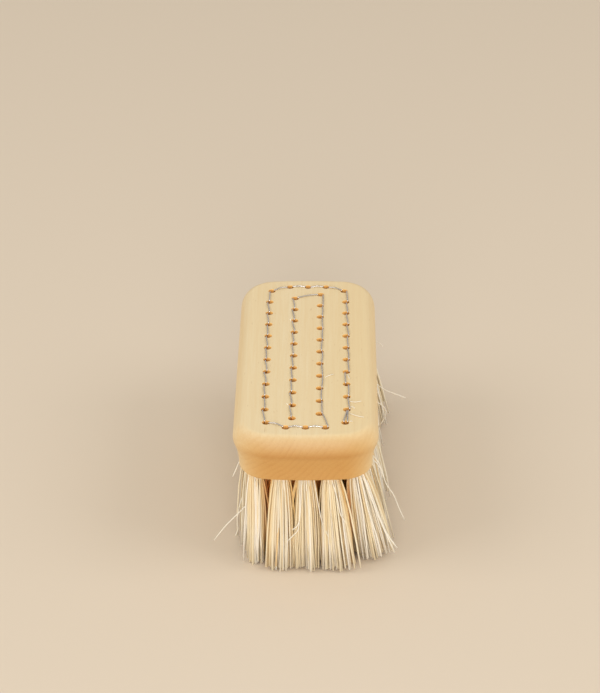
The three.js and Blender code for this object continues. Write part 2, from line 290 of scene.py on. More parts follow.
def paint(piece, name, values):
    """One number for each point of a piece, for its material to read."""
    layer = piece.data.attributes.new(name, "FLOAT", "POINT")
    layer.data.foreach_set("value", np.ascontiguousarray(values, dtype=np.float32).ravel())


def linear(hex_colour):
    """An sRGB colour such as "#E6CEA0" as linear red, green, blue and alpha."""
    srgb = np.array([int(hex_colour[i:i + 2], 16) for i in (1, 3, 5)]) / 255
    straight = np.where(srgb <= 0.04045, srgb / 12.92, ((srgb + 0.055) / 1.055) ** 2.4)
    return (*straight.tolist(), 1.0)


def new_material(name):
    """A node material with its shader and output joined; returns the material and its shader node."""
    material = bpy.data.materials.new(name)
    material.use_nodes = True
    return material, material.node_tree.nodes["Principled BSDF"]


def add(material, kind, inputs, **settings):
    """Adds a node to a material: its settings, and each input as a value or as a link from another node."""
    tree = material.node_tree
    made = tree.nodes.new(kind)
    for name, value in settings.items():
        setattr(made, name, value)
    for name, value in inputs.items():
        if isinstance(value, bpy.types.NodeSocket):
            tree.links.new(value, made.inputs[name])
        else:
            made.inputs[name].default_value = value
    return made


def join(material, source, target):
    """Links one socket to another."""
    material.node_tree.links.new(source, target)


def oiled_birch():
    """Oiled birch: even cream wood with faint straight grain, short brown flecks and a soft low gloss. The
    rolled edges are yellower, partly wood tone and partly painted shade and warm bounce light; the short
    ends are orange, from end grain and painted shade both, with a band of painted shade under their rolled
    edge, and show thin growth lines as slanting arcs. The freshly cut walls of the holes are a warm orange."""
    drift_size = np.array([5, 70, 5]) * MM  # of slow changes of colour, long along the grain
    fibre_size = np.array([0.5, 16, 0.5]) * MM  # coarser than the real ones so that they show
    fleck_size = np.array([0.45, 3.2, 0.45]) * MM
    pore_depth = 0.05 * MM
    ring_spacing = 1.6  # millimetres between growth lines
    ring_stretch = 0.06  # growth lines run along the block, so their pattern is drawn out along Y
    heart = (-62, 88)  # middle of the tree seen on the short end, x and z in millimetres
    wave_period = 2 * np.pi / 20  # of a wave texture at scale 1
    material, shader = new_material("oiled_birch")
    place = add(material, "ShaderNodeTexCoord", {}).outputs["Object"]
    end_grain_and_shade = add(material, "ShaderNodeAttribute", {}, attribute_name="end_grain_and_shade")

    drift_at = add(material, "ShaderNodeMapping", {"Vector": place, "Scale": (1 / drift_size).tolist()})
    drift = add(material, "ShaderNodeTexNoise", {
        "Vector": drift_at.outputs[0], "Scale": 1.0, "Detail": 2.0})

    # Growth lines show most on the ends, and there in patches
    rings_at = add(material, "ShaderNodeMapping", {
        "Vector": place, "Location": (-heart[0], 0, -heart[1]),
        "Scale": (1 / MM, ring_stretch / MM, 1 / MM)})
    rings = add(material, "ShaderNodeTexWave", {
        "Vector": rings_at.outputs[0], "Scale": wave_period / ring_spacing, "Distortion": 6.0, "Detail": 3.0,
        "Detail Scale": 0.6}, wave_type="RINGS", rings_direction="Y", wave_profile="SAW")
    patchy = add(material, "ShaderNodeMapRange", {
        "Value": drift.outputs["Fac"], "From Min": 0.35, "From Max": 0.7, "To Min": 0.04, "To Max": 0.24})
    line_depth = add(material, "ShaderNodeMapRange", {
        "Value": end_grain_and_shade.outputs["Fac"], "To Min": 0.05, "To Max": patchy.outputs[0]})
    late_wood = add(material, "ShaderNodeMapRange", {
        "Value": rings.outputs["Fac"], "From Min": 0.45, "From Max": 1.0, "To Max": line_depth.outputs[0]})

    fibres_at = add(material, "ShaderNodeMapping", {"Vector": place, "Scale": (1 / fibre_size).tolist()})
    fibres = add(material, "ShaderNodeTexNoise", {
        "Vector": fibres_at.outputs[0], "Scale": 1.0, "Detail": 3.0})
    flecks_at = add(material, "ShaderNodeMapping", {"Vector": place, "Scale": (1 / fleck_size).tolist()})
    flecks = add(material, "ShaderNodeTexNoise", {
        "Vector": flecks_at.outputs[0], "Scale": 1.0, "Detail": 1.0})
    fleck = add(material, "ShaderNodeMapRange", {
        "Value": flecks.outputs["Fac"], "From Min": 0.72, "From Max": 0.8, "To Max": 0.25})

    # One broad band along the right side is yellower than the rest
    across = add(material, "ShaderNodeSeparateXYZ", {"Vector": place})
    across_block = add(material, "ShaderNodeMapRange", {
        "Value": across.outputs["X"], "From Min": -half_width, "From Max": half_width})
    bands = add(material, "ShaderNodeValToRGB", {"Fac": across_block.outputs[0]})
    stops = bands.color_ramp.elements
    stops[0].color = linear("#F6E8C4")
    stops[1].color = linear("#F4E5BF")
    stops.new(0.58).color = linear("#F5E6C1")
    stops.new(0.75).color = linear("#F3DFB0")
    stops.new(0.9).color = linear("#F3DDAC")
    cream = add(material, "ShaderNodeMix", {
        0: drift.outputs["Fac"], 6: bands.outputs["Color"], 7: linear("#EED6A8")}, data_type="RGBA")
    fibred = add(material, "ShaderNodeMix", {
        0: fibres.outputs["Fac"], 6: cream.outputs[2], 7: linear("#EACE9B")}, data_type="RGBA")
    lined = add(material, "ShaderNodeMix", {
        0: late_wood.outputs[0], 6: fibred.outputs[2], 7: linear("#CF9F63")}, data_type="RGBA")
    flecked = add(material, "ShaderNodeMix", {
        0: fleck.outputs[0], 6: lined.outputs[2], 7: linear("#A9773F")}, data_type="RGBA")

    # Painted shade and warm bounce light, partly the yellower tone of the oiled edge: a tint that grows as
    # the surface turns upright
    turned = add(material, "ShaderNodeAttribute", {}, attribute_name="edge_tone_and_shade")
    edged = add(material, "ShaderNodeMix", {
        0: turned.outputs["Fac"], 6: flecked.outputs[2], 7: linear("#FFE6B8")},
        data_type="RGBA", blend_type="MULTIPLY")
    # End grain and painted shade: the short ends are drawn darker and more orange
    ended = add(material, "ShaderNodeMix", {
        0: end_grain_and_shade.outputs["Fac"], 6: edged.outputs[2], 7: linear("#D8C8B5")},
        data_type="RGBA", blend_type="MULTIPLY")
    # Painted shade: a darker band on the short ends just under the rolled edge, where the flank turns to
    # face down
    painted_rim_shade = add(material, "ShaderNodeAttribute", {}, attribute_name="painted_rim_shade")
    rim_shaded = add(material, "ShaderNodeMix", {
        0: painted_rim_shade.outputs["Fac"], 6: ended.outputs[2], 7: linear("#F3EDE7")},
        data_type="RGBA", blend_type="MULTIPLY")
    drilled = add(material, "ShaderNodeAttribute", {}, attribute_name="drilled")
    walled = add(material, "ShaderNodeMix", {
        0: drilled.outputs["Fac"], 6: rim_shaded.outputs[2], 7: linear("#F5BE6B")}, data_type="RGBA")
    join(material, walled.outputs[2], shader.inputs["Base Color"])

    gloss = add(material, "ShaderNodeMapRange", {
        "Value": fibres.outputs["Fac"], "To Min": 0.45, "To Max": 0.6})
    join(material, gloss.outputs[0], shader.inputs["Roughness"])
    pores = add(material, "ShaderNodeBump", {
        "Height": fibres.outputs["Fac"], "Strength": 0.2, "Distance": pore_depth})
    join(material, pores.outputs[0], shader.inputs["Normal"])
    return material


skin = block_skin()
walls = drilled_walls()
block_points = np.concatenate([skin.reshape(-1, 3), walls.reshape(-1, 3)])
skin_numbers = point_numbers(skin)
wall_numbers = point_numbers(walls, skin_numbers.size)
back_face = flat_face(block_points, skin_numbers[-1], wall_numbers[:, 0])
under_face = flat_face(block_points, skin_numbers[0], wall_numbers[:, -1])[:, ::-1]
block_faces = [
    *wall_faces(skin_numbers).tolist(),
    *wall_faces(wall_numbers).tolist(),
    *back_face.tolist(),
    *under_face.tolist(),
]

block = new_object("block", block_points, block_faces, oiled_birch())
block.data.set_sharp_from_angle(angle=sharp_edge)
facing = np.empty((len(block_points), 3), np.float32)
block.data.vertex_normals.foreach_get("vector", facing.ravel())
on_wall = np.zeros(len(block_points))
on_wall[wall_numbers[:, 2:-2].ravel()] = 1  # but for the flat margins and the rims beside them
upright = (1 - np.maximum(facing[:, 2], 0)) * (1 - on_wall)
end_share = np.abs(facing[:, 1]) ** end_tint_power * (1 - on_wall)
below_rim_shade = (back - roll_drop - rim_shade_drop - block_points[:, 2]) / rim_shade_width
# painted shade and tone of the rolled edges, less on the long sides
paint(block, "edge_tone_and_shade", upright ** edge_tint_power * (1 - side_tint_loss * facing[:, 0] ** 2))
# end grain and painted shade on the short ends
paint(block, "end_grain_and_shade", end_share)
# painted shade just under the rolled edge of the short ends
paint(block, "painted_rim_shade", end_share * np.exp(-below_rim_shade ** 2))
paint(block, "drilled", on_wall)
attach(block, "root")
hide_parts("birch_block")

# The tufts
# A bundle of stiff undyed tampico, the leaf fibre of an agave, for each hole. The fibres are laid over the
# wire, folded double and pulled up into the bore, then trimmed level. They stand close at the block and open
# out below.

fibres_in_tuft = 72
fibre_sides = 5
fibre_thickness = 0.46 * MM  # coarser than most real ones, so that single fibres show
fibre_reach = 29 * MM
root_radius = 1.8 * MM
tip_radius = 4.1 * MM
opening_power = 0.5  # below one, so that a tuft opens most just under the block
locks_in_tuft = 8
golden_turn = np.pi * (3 - np.sqrt(5))
tuft_seed = 100

free_share = np.array([1, 0.7, 0.4, 0.16, 0.04, 0])  # of the free length, at the points of a leg
fold_points = 3
pressed_share = 0.75  # of its thickness, to which a fibre is pressed inside the bore
pressed_length = 0.16  # of the free length, over which it swells again
pressed = np.interp(free_share, [0, pressed_length], [pressed_share, 1])
pressed_hairpin = np.concatenate([pressed, np.full(fold_points, pressed_share), pressed[::-1]])
tip_light_from = 0.3  # of the free length, from which on a fibre is painted paler, as painted light towards its tips
most_tip_light = 0.3
# Painted light: a fibre's tone is raised towards its tips
painted_tip_light = np.interp(free_share, [tip_light_from, 1], [0, most_tip_light])
painted_tip_light_hairpin = np.concatenate([painted_tip_light, np.zeros(fold_points), painted_tip_light[::-1]])

eye_depth = 7.8 * MM  # below the back, where the wire crosses under the folds
fold_half_width = 0.9 * MM
fold_widening = 0.7 * MM
fold_drop = 1.2 * MM
fold_rise = 1.2 * MM
fold_stacking = 1.0 * MM
fold_spread = 0.9 * MM  # of the folds along the wire

# What chance does to the fibres. The first three are shares of the tuft's radius.
root_spread = 0.06
tip_spread = 0.14
lock_reach = 0.85
lock_pull = 0.3  # of the way to its lock, by which a tip is drawn
lean_spread = 0.35 * MM
bow_spread = 0.3 * MM
opening_range = (0.92, 1.06)
thickness_range = (0.78, 1.22)
least_cut = 0.1 * MM  # by which every tip falls short of the full reach
cut_range = 1.1 * MM  # and up to this much more, most tips only a little

# Use has combed the brush to the right: how far the tips lean and how wide they open, from the left column
# to the right one. Some tufts have a habit of their own: further lean in millimetres, and further opening.
lean_across = np.array([-0.6, 0.2, 0.9, 1.6, 3.4]) * MM
open_across = np.array([0.95, 1.0, 1.0, 1.05, 1.3])
end_splay = 2 * MM
inner_opening = 1.2
tuft_habit = {
    "tuft_left_01": ((1.4, 0), 0.66),
    "tuft_left_02": ((1.5, -1.0), 1.2),
    "tuft_right_01": ((1.0, 5.2), 1.15),
    "tuft_right_02": ((-1.0, 0), 1.3),
    "tuft_right_10": ((-0.8, 0), 0.95),
    "tuft_right_11": ((1.5, 1.0), 1.0),
    "tuft_right_12": ((2.0, 2.0), 1.0),
    "tuft_front_03": ((1.0, 0), 1.15),
    "tuft_inner_1_01": ((2.0, 1.0), 1.55),
    "tuft_inner_2_01": ((-2.2, 1.0), 1.55),
}

# Some fibres of each tuft stray at their tips, those of a side column only inwards
inner = np.array(["inner" in name for name in tuft_names])
stray_share = np.where(at_end, 0.12, 0.3)
stray_spread = np.where(at_end, 1.5, 2.4) * MM
stray_towards = np.where(inner | at_end, 0, -np.sign(hole_back[:, 0]))

# Painted shade: light that has passed through other fibres turns golden, and that colour is painted into
# the fibres. A tuft's sides that are turned to its neighbours get some of it, and fibres well inside the
# field of tufts get all of it, less towards their tips.
outer_faces = np.stack([at_side, at_end], -1)
lit_side = 0.75  # of the tuft's radius, from which on an outer side gets none
shade_gold = 0.5
field_growth = 2 * MM  # of the field from the block to the tips
gold_depth = (2.5 * MM, 5.5 * MM)  # from the edge of the field
gold_tip_loss = 0.6

tuft_field = np.abs(hole_back + hole_slope * thickness).max(0) + root_radius
ahead = np.concatenate([hole_back[1:], hole_back[-1:]])
behind = np.concatenate([hole_back[:1], hole_back[:-1]])
crossing = (ahead - behind) / np.linalg.norm(ahead - behind, axis=-1, keepdims=True)
crossing[0] = [1, 0]  # both strands of the first hole run to the second


def square_to(direction):
    """A level direction turned a quarter turn to the left."""
    return np.stack([-direction[..., 1], direction[..., 0]], -1)


def tuft_lean(hole):
    """How far a tuft's middle has gone sideways at its tips, and the radius that it opens to: both read from
    its place across the brush, with the lean outwards at the ends and the tuft's own habit."""
    x, y = hole_back[hole]
    columns = np.linspace(-outer_x, outer_x, lean_across.size)
    further, wider = tuft_habit.get(tuft_names[hole], ((0, 0), inner_opening if inner[hole] else 1))
    lean = np.array([np.interp(x, columns, lean_across), at_end[hole] * np.sign(y) * end_splay])
    return lean + np.array(further) * MM, tip_radius * wider * np.interp(x, columns, open_across)


def leg_spots(draws):
    """Where the legs of the fibres stand in the bore, along and across the wire, as shares of the tuft's
    radius there: a sunflower spiral, a golden turn apart with the radius as the root of the count. First
    legs take the spots on one side of the wire and second legs the mirror image, each with a little chance,
    and none stands outside the bore."""
    spot = np.arange(2 * fibres_in_tuft) + 0.5
    radius = np.sqrt(spot / spot.size)
    disc = np.stack([radius * np.cos(spot * golden_turn), radius * np.sin(spot * golden_turn)], -1)
    one_side = disc[np.argsort(disc[:, 1])[fibres_in_tuft:]]
    legs = np.stack([one_side, one_side * [1, -1]]) + draws.normal(0, root_spread, (2, fibres_in_tuft, 2))
    return legs / np.maximum(np.linalg.norm(legs, axis=-1, keepdims=True), 1)


def tip_spots(legs, draws):
    """Where the legs end, as shares of the radius that the tuft opens to: each leg's own spot, drawn a part
    of the way to the nearest of a few locks, with a little chance."""
    locks = draws.uniform(-lock_reach, lock_reach, (locks_in_tuft, 2))
    nearest = np.argmin(np.linalg.norm(legs[:, :, None] - locks, axis=-1), axis=-1)
    return legs + lock_pull * (locks[nearest] - legs) + draws.normal(0, tip_spread, legs.shape)


def stray_tips(hole, draws):
    """How far the legs stray at their tips: a chance distance for a share of them, nought for the rest."""
    strays = draws.random((2, fibres_in_tuft, 1)) < stray_share[hole]
    stray = strays * draws.normal(0, stray_spread[hole], (2, fibres_in_tuft, 2))
    if stray_towards[hole]:
        stray[..., 0] = stray_towards[hole] * np.abs(stray[..., 0])
    return stray


def folds(hole, legs, axes):
    """Where each fibre folds over the wire like a roof: low on one side, high over the wire, low on the
    other. A fibre whose legs stand further out folds wider and higher, so that the folds lie over each
    other."""
    further_out = np.abs(legs[0, :, 1:])
    across = (fold_half_width + fold_widening * further_out) * [1, 0, -1]
    along = np.broadcast_to(fold_spread * legs[0, :, :1], across.shape)
    depth = eye_depth + np.where([True, False, True], fold_drop, -fold_rise - fold_stacking * further_out)
    plan = hole_back[hole] + hole_slope[hole] * depth[..., None] + np.stack([along, across], -1) @ axes
    return np.concatenate([plan, back - depth[..., None]], -1)


def gold_of_legs(hole, plan, place_in_tuft, tuft_radius):
    """How golden the points of the legs are painted, as painted shade: the greater of two shares. One falls
    from the tuft's middle to its outer side, measured along the brush's outward directions there. The other
    grows with the distance from the edge of the field of tufts, and falls by the cube of the way to the
    tips."""
    turned_out = place_in_tuft * np.sign(hole_back[hole]) / tuft_radius[:, None]
    turned_out = np.where(outer_faces[hole], turned_out, -1).max(-1)
    in_shade = np.interp(turned_out, [0, lit_side], [shade_gold, 0])
    field = tuft_field + field_growth * free_share[:, None]
    in_brush = np.interp((field - np.abs(plan)).min(-1), gold_depth, [0, 1])
    return np.maximum(in_shade, in_brush * (1 - gold_tip_loss * free_share ** 3))


def folded_fibres(hole, draws):
    """The fibres of one tuft, each a hairpin: up one leg from its cut tip, over the wire, and down the other
    leg. A leg leaves its spot in the bore and opens towards its spot at the tips by a power of the way down,
    with the tuft's lean and a bow that is greatest halfway. A leg that goes sideways reaches less far down,
    as the third side of a triangle. Also returned: how golden each point is painted, as painted shade, the
    folds wholly so."""
    legs = leg_spots(draws)
    tips = tip_spots(legs, draws)
    stray = stray_tips(hole, draws)
    lean, open_radius = tuft_lean(hole)
    open_radius *= draws.uniform(*opening_range)
    lean += draws.normal(0, lean_spread, 2)
    bow = draws.normal(0, bow_spread, legs.shape)
    short_cut = least_cut + cut_range * draws.random((2, fibres_in_tuft)) ** 2

    axes = np.stack([crossing[hole], square_to(crossing[hole])])
    mouth = hole_back[hole] + hole_slope[hole] * thickness
    root_at = mouth + root_radius * legs @ axes
    opening = (open_radius * tips - root_radius * legs) @ axes + stray
    tip_height = short_cut + underside - np.sqrt(fibre_reach ** 2 - ((lean + opening) ** 2).sum(-1))

    share = free_share[:, None]
    opened = share ** opening_power
    plan = root_at[:, :, None] + lean * share + opening[:, :, None] * opened
    plan = plan + bow[:, :, None] * (4 * share * (1 - share))
    level = underside * (1 - free_share) + tip_height[:, :, None] * free_share
    leg = np.concatenate([plan, level[..., None]], -1)
    fold = folds(hole, legs, axes)
    paths = np.concatenate([leg[0], fold, leg[1][:, ::-1]], axis=1)

    place_in_tuft = (root_at - mouth)[:, :, None] + opening[:, :, None] * opened
    tuft_radius = root_radius + (open_radius - root_radius) * opened[:, 0]
    leg_gold = gold_of_legs(hole, plan, place_in_tuft, tuft_radius)
    gold = np.concatenate([leg_gold[0], np.ones(fold.shape[:2]), leg_gold[1][:, ::-1]], axis=1)
    return paths, gold


def rods(paths, radius, across, sides):
    """A round rod along each path: at every point a ring square to the path. One axis of the ring is the
    across direction made square to the path, the other is square to both."""
    along = np.gradient(paths, axis=-2)
    along /= np.linalg.norm(along, axis=-1, keepdims=True)
    first = across - (across * along).sum(-1, keepdims=True) * along
    first /= np.linalg.norm(first, axis=-1, keepdims=True)
    second = np.cross(along, first)
    angle = (np.arange(sides) * 2 * np.pi / sides)[:, None]
    arm = first[..., None, :] * np.cos(angle) + second[..., None, :] * np.sin(angle)
    return paths[..., None, :] + radius[..., None, None] * arm


def rod_faces(numbers):
    """The walls of rods and a flat face on both ends of each, from point numbers by rod, ring and side."""
    ends = np.concatenate([numbers[:, 0, ::-1], numbers[:, -1]])
    return wall_faces(numbers).tolist() + ends.tolist()


def tampico_fibre():
    """Tampico: matt, faintly waxy straw, from pale gold to cream white from one fibre to the next, and
    painted paler towards the tips, as painted light. Deep in the brush it is painted a deep gold, as painted
    shade for light that comes through other fibres."""
    material, shader = new_material("tampico_fibre")
    tone = add(material, "ShaderNodeAttribute", {}, attribute_name="fibre_tone")
    straw = add(material, "ShaderNodeValToRGB", {"Fac": tone.outputs["Fac"]})
    stops = straw.color_ramp.elements
    stops[0].color = linear("#E6C896")
    stops[1].color = linear("#F7F0E2")
    stops.new(0.2).color = linear("#EFDCB4")
    stops.new(0.6).color = linear("#F2E6CA")
    # Painted shade: fibres are drawn golden where light would reach them only through other fibres
    depth = add(material, "ShaderNodeAttribute", {}, attribute_name="fibre_painted_shade")
    gold = add(material, "ShaderNodeValToRGB", {"Fac": depth.outputs["Fac"]})
    stops = gold.color_ramp.elements
    stops[0].color = linear("#FFFFFF")
    stops[1].color = linear("#FFAE58")
    stops.new(0.45).color = linear("#FFEABF")
    colour = add(material, "ShaderNodeMix", {
        0: 1.0, 6: straw.outputs["Color"], 7: gold.outputs["Color"]},
        data_type="RGBA", blend_type="MULTIPLY")
    join(material, colour.outputs[2], shader.inputs["Base Color"])
    shader.inputs["Roughness"].default_value = 0.5
    return material


tampico = tampico_fibre()
for hole, tuft_name in enumerate(tuft_names):
    draws = np.random.default_rng(tuft_seed + hole)
    paths, gold = folded_fibres(hole, draws)
    radius = fibre_thickness * pressed_hairpin / 2 * draws.uniform(*thickness_range, (fibres_in_tuft, 1))
    tuft_points = rods(paths, radius, np.append(crossing[hole], 0), fibre_sides)
    tuft_faces = rod_faces(point_numbers(tuft_points))
    tuft = new_object(tuft_name.replace("tuft", "fibres"), tuft_points, tuft_faces, tampico)
    ones = np.ones(tuft_points.shape[:3])
    # the fibre's own tone, plus painted light towards its tips
    paint(tuft, "fibre_tone", ones * draws.random((fibres_in_tuft, 1, 1)) + painted_tip_light_hairpin[:, None])
    # painted shade: how golden each point of the tuft is drawn
    paint(tuft, "fibre_painted_shade", ones * gold[..., None])
    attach(tuft, "root")
    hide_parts(tuft_name)

# The loose fibres
# A few fibres have sprung out of their tufts, some stand out stiffly at the front right corner, and a few
# cut ends show on the back. They are the same tampico, held in their holes by the wire as the others are.

sprung_thickness = 0.3 * MM
end_thickness = 0.2 * MM
loose_tone = 0.9
loose_across = np.array([0.3, 0.9, 0.3])  # a direction that no route runs along
corner_rounds = 2  # how often a path's corners are rounded


def rounded(points):
    """A path with its corners rounded: each round puts every leg's points at a quarter and three quarters in
    place of its ends, so that the path nears a smooth curve."""
    for _ in range(corner_rounds):
        legs = [0.75 * points[:-1] + 0.25 * points[1:], 0.25 * points[:-1] + 0.75 * points[1:]]
        points = np.stack(legs, 1).reshape(-1, points.shape[-1])
    return points


def loose_fibres(name, routes, rod_thickness):
    """Thin rods along given routes, in millimetres, with corners rounded and ends kept."""
    points = []
    faces = []
    point_count = 0
    for route in routes:
        corners = np.array(route, float) * MM
        path = np.concatenate([corners[:1], rounded(corners), corners[-1:]])[None]
        rod = rods(path, np.full(path.shape[:2], rod_thickness / 2), loose_across, fibre_sides)
        faces += rod_faces(point_numbers(rod, point_count))
        points.append(rod.reshape(-1, 3))
        point_count += len(points[-1])
    made = new_object(name, np.concatenate(points), faces, tampico)
    paint(made, "fibre_tone", np.full(point_count, loose_tone))
    # no painted shade on the loose fibres
    paint(made, "fibre_painted_shade", np.zeros(point_count))
    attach(made, "root")


sprung_routes = [
    [(-15, -30, 30), (-17.4, -30, 27.6), (-18.8, -30, 24.9), (-19.7, -30, 22.4), (-20.6, -30, 20.2)],
    [(-13.6, -37, 30), (-14.2, -38, 21.5), (-15.5, -38, 17.6), (-17, -38, 15.3), (-20.6, -38, 11.3),
     (-22.6, -38, 9), (-25.8, -38, 4.3)],
    [(-15.5, -33, 30), (-16.4, -33, 22), (-17.2, -33, 17.7), (-19.2, -33, 10.8), (-19.5, -33, 6.4),
     (-19.1, -33, 4.9), (-20.1, -33, 2.4)],
    [(15.5, -30, 30), (19.5, -30, 26.5), (21.2, -30, 22.5), (22.1, -30, 18.4), (22.8, -30, 17),
     (24.6, -30, 14.4), (25.9, -30, 10.4), (27.7, -30, 5.9)],
    [(15.8, -31, 30), (20.6, -30.5, 24), (21.6, -30.5, 20.4), (22.6, -30.3, 17.6), (23.4, -30, 16.2)],
    [(15.5, 20, 30), (19.5, 20, 22.4), (22.4, 20, 19.9), (23.3, 20, 19.4), (26, 20, 18.2), (29.3, 20, 16.8)],
    [(15.2, 0, 30), (20.5, 0, 27), (22.8, 0, 24.8), (22.9, 0, 22.9), (20.9, 0, 18.6)],
    [(15.2, 38, 30), (18.6, 43, 23), (20.5, 45, 21.5), (21.1, 45, 22.1), (21.9, 45, 21.6), (23, 45, 20.5)],
    [(-1.5, -43.5, 30), (-1.7, -46.3, 18), (-1.9, -46.8, 13.6), (-3, -46.8, 12.2), (-4.9, -46.8, 10)],
    [(-1, -43.5, 30), (-1.4, -46.2, 19), (-1.9, -46.7, 15), (-3.7, -46.8, 13.5)],
    [(2, -43.5, 30), (4.2, -45.6, 15.5), (6.1, -46, 11.2), (6.8, -46, 9.2)],
    [(6.5, -43.5, 30), (8.7, -46, 23.4), (9.4, -46, 17.9), (10.7, -46, 16.2), (11.9, -46, 12.7)],
]
corner_routes = [
    [(15, -40, 30), (16.7, -41.9, 24.5), (20.3, -42, 14), (24.7, -42, 2.9)],
    [(15.6, -39.5, 30), (17.6, -41, 23), (21.9, -41.5, 9.5), (25.3, -41.5, 4.2)],
    [(13.6, -40.6, 30), (14.6, -43.6, 24.4), (16, -44, 15.3), (17.2, -44, 2.1)],
    [(14.6, -40.3, 30), (16.5, -43, 20.3), (17.8, -43, 15.1), (19.6, -43, 9.3), (21, -43, 2.3)],
]
end_routes = [
    [(11.6, -11.2, 42), (11.5, -12.6, 43.4), (12.1, -15.1, 43.4)],
    [(11.8, -25.5, 42), (12, -27.6, 43.3), (13.3, -28.4, 43.4), (15.3, -28, 43.6)],
    [(11.9, -31, 42), (12.6, -30.2, 43.4), (13.4, -31.7, 43.4)],
    [(11.7, -32.5, 42), (12.1, -34.2, 43.3), (14, -35.6, 43.3), (15.9, -36.3, 43.3)],
    [(11.9, -38.2, 42), (12.2, -38.2, 43.4), (12.7, -38.8, 43.4)],
    [(-4.5, -29.4, 42), (-4.9, -29.4, 43.3), (-5.4, -29.3, 43.5)],
    [(-4.5, 19.4, 42), (-4.9, 19.8, 43.3), (-5.2, 20.1, 43.5)],
    [(4.6, -13.3, 42), (5.4, -13.9, 43.3), (7.6, -12.4, 43.3)],
]
loose_fibres("sprung_fibres", sprung_routes, sprung_thickness)
loose_fibres("corner_fibres", corner_routes, fibre_thickness)
loose_fibres("fibre_ends", end_routes, end_thickness)

# The drawing wire
# One length of soft drawn steel wire. It goes down each hole, under the folds of the tuft and up again,
# pulled tight by hand, so that each stitch along the back lies a little differently.

wire_radius = 0.18 * MM
wire_sides = 8
wire_clearance = 0.02 * MM  # between the wire and the back
wire_bend = 0.72 * MM  # from the corner of a bend to where its rounding starts
strand_radius = 0.8 * MM  # from a hole's middle to a strand against its wall
strand_share = 0.6  # of its place on the wall, which a strand keeps at the foot of the wire hole
eye_spread = 1.25 * MM
eye_rise = 0.8 * MM
eye_half_width = 0.9 * MM
tail_depth = 3 * MM
stitch_rise = 0.1 * MM
cross_stitch_rise = 0.35 * MM  # of the stitches that run across the brush
rise_range = (0.6, 1.3)
wander_spread = 0.08 * MM
lay_spread = 0.12  # millimetres
most_lay = 0.76  # millimetres
lay_seed = 7
stitch_seed = 11


def stitch_lay():
    """How far to the side of a hole's middle the wire goes in and comes out: to the right along a column and
    to the rear along a row. It is the side that each column was pulled to, in millimetres, plus a little
    chance, but for the holes where the wire turns or was pulled another way."""
    draws = np.random.default_rng(lay_seed)
    pulled = {"right": (0.4, 0.65), "left": (-0.1, -0.5), "inner_1": (0.65, 0.65), "inner_2": (-0.1, -0.6)}
    turned = {
        "right_01": (-0.4, 0.6), "right_02": (0.4, 0.75), "right_04": (0.5, -0.3), "right_05": (-0.4, 0.7),
        "right_12": (0.75, 0), "left_12": (0, -0.5), "left_01": (-0.3, 0), "front_03": (0, 0.75),
        "inner_1_01": (0.75, 0.7), "inner_1_11": (0.75, 0), "inner_2_11": (0, -0.7), "inner_2_01": (-0.2, 0),
    }
    lay = np.zeros((hole_count, 2))
    for stem, side in pulled.items():
        lay[[name.startswith(f"tuft_{stem}_") for name in tuft_names]] = side
    lay += draws.normal(0, lay_spread, lay.shape)
    for name, side in turned.items():
        lay[tuft_names.index(f"tuft_{name}")] = side
    return np.clip(lay, -most_lay, most_lay) * MM


def wall_place(towards, side):
    """A strand's place on a hole's wall: its lay to the side, and along the stitch the third side of the
    triangle that its lay makes with the strand's radius."""
    along = np.sqrt(strand_radius ** 2 - side[:, None] ** 2)
    return towards * along + np.abs(square_to(towards)) * side[:, None]


def wire_row(offset, travel, height):
    """One corner of the wire's path in every hole, and the direction across it there: the offset from the
    hole's middle, which follows the slant below the back, and the height above the back."""
    plan = hole_back + hole_slope * max(-height, 0) + offset
    level = np.full((hole_count, 1), back + height)
    return np.concatenate([plan, level, square_to(travel), np.zeros((hole_count, 1))], -1)


def wire_corners():
    """The corners of the wire's path and the direction across it there. For every hole: the rise of the
    stitch halfway from the hole before, along the back to the rim, down the hole's wall, under the folds,
    up and out. A tail comes first, out of the second hole, and the wire ends inside the last one."""
    draws = np.random.default_rng(stitch_seed)
    came_from = np.concatenate([hole_back[1:2], hole_back[:-1]])
    arriving = hole_back - came_from
    arriving /= np.linalg.norm(arriving, axis=-1, keepdims=True)
    leaving = np.concatenate([arriving[1:], crossing[-1:]])
    lay = stitch_lay()
    inwards = wall_place(-arriving, lay[:, 0])
    outwards = wall_place(leaving, lay[:, 1])
    on_back = wire_radius + wire_clearance
    in_hole = [
        wire_row(strand_share * inwards, crossing, -wire_hole_depth),
        wire_row(-crossing * eye_spread, crossing, -eye_depth + eye_rise),
        wire_row(-crossing * eye_half_width, crossing, -eye_depth),
        wire_row(crossing * eye_half_width, crossing, -eye_depth),
        wire_row(crossing * eye_spread, crossing, -eye_depth + eye_rise),
        wire_row(strand_share * outwards, crossing, -wire_hole_depth),
    ]
    up_and_out = [
        wire_row(outwards, leaving, on_back - wire_bend),
        wire_row(outwards, leaving, on_back),
        wire_row(outwards + leaving * wire_bend, leaving, on_back),
    ]
    loop = np.stack([
        wire_row(inwards - arriving * wire_bend, arriving, on_back),
        wire_row(inwards, arriving, on_back),
        wire_row(inwards, arriving, on_back - wire_bend),
        *in_hole,
        *up_and_out,
    ], 1)

    start = hole_back[1] - [0, strand_radius]
    tail_plan = [start, start, start, start - [0, wire_bend]]
    tail_height = [-tail_depth, on_back - wire_bend, on_back, on_back]
    tail = np.array([[*plan, back + height, 1, 0, 0] for plan, height in zip(tail_plan, tail_height)])

    before = np.concatenate([tail[-1:], loop[:-1, -1]])
    rise = (before + loop[:, 0]) / 2
    across_brush = np.abs(arriving[:, 0]) > np.abs(arriving[:, 1])
    rise_height = np.where(across_brush, cross_stitch_rise, stitch_rise)
    rise[:, 2] += rise_height * draws.uniform(*rise_range, hole_count)
    rise[:, :2] += rise[:, 3:5] * draws.normal(0, wander_spread, (hole_count, 1))
    path = np.concatenate([rise[:, None], loop], 1).reshape(-1, loop.shape[-1])
    return np.concatenate([tail, path[:-len(up_and_out)]])


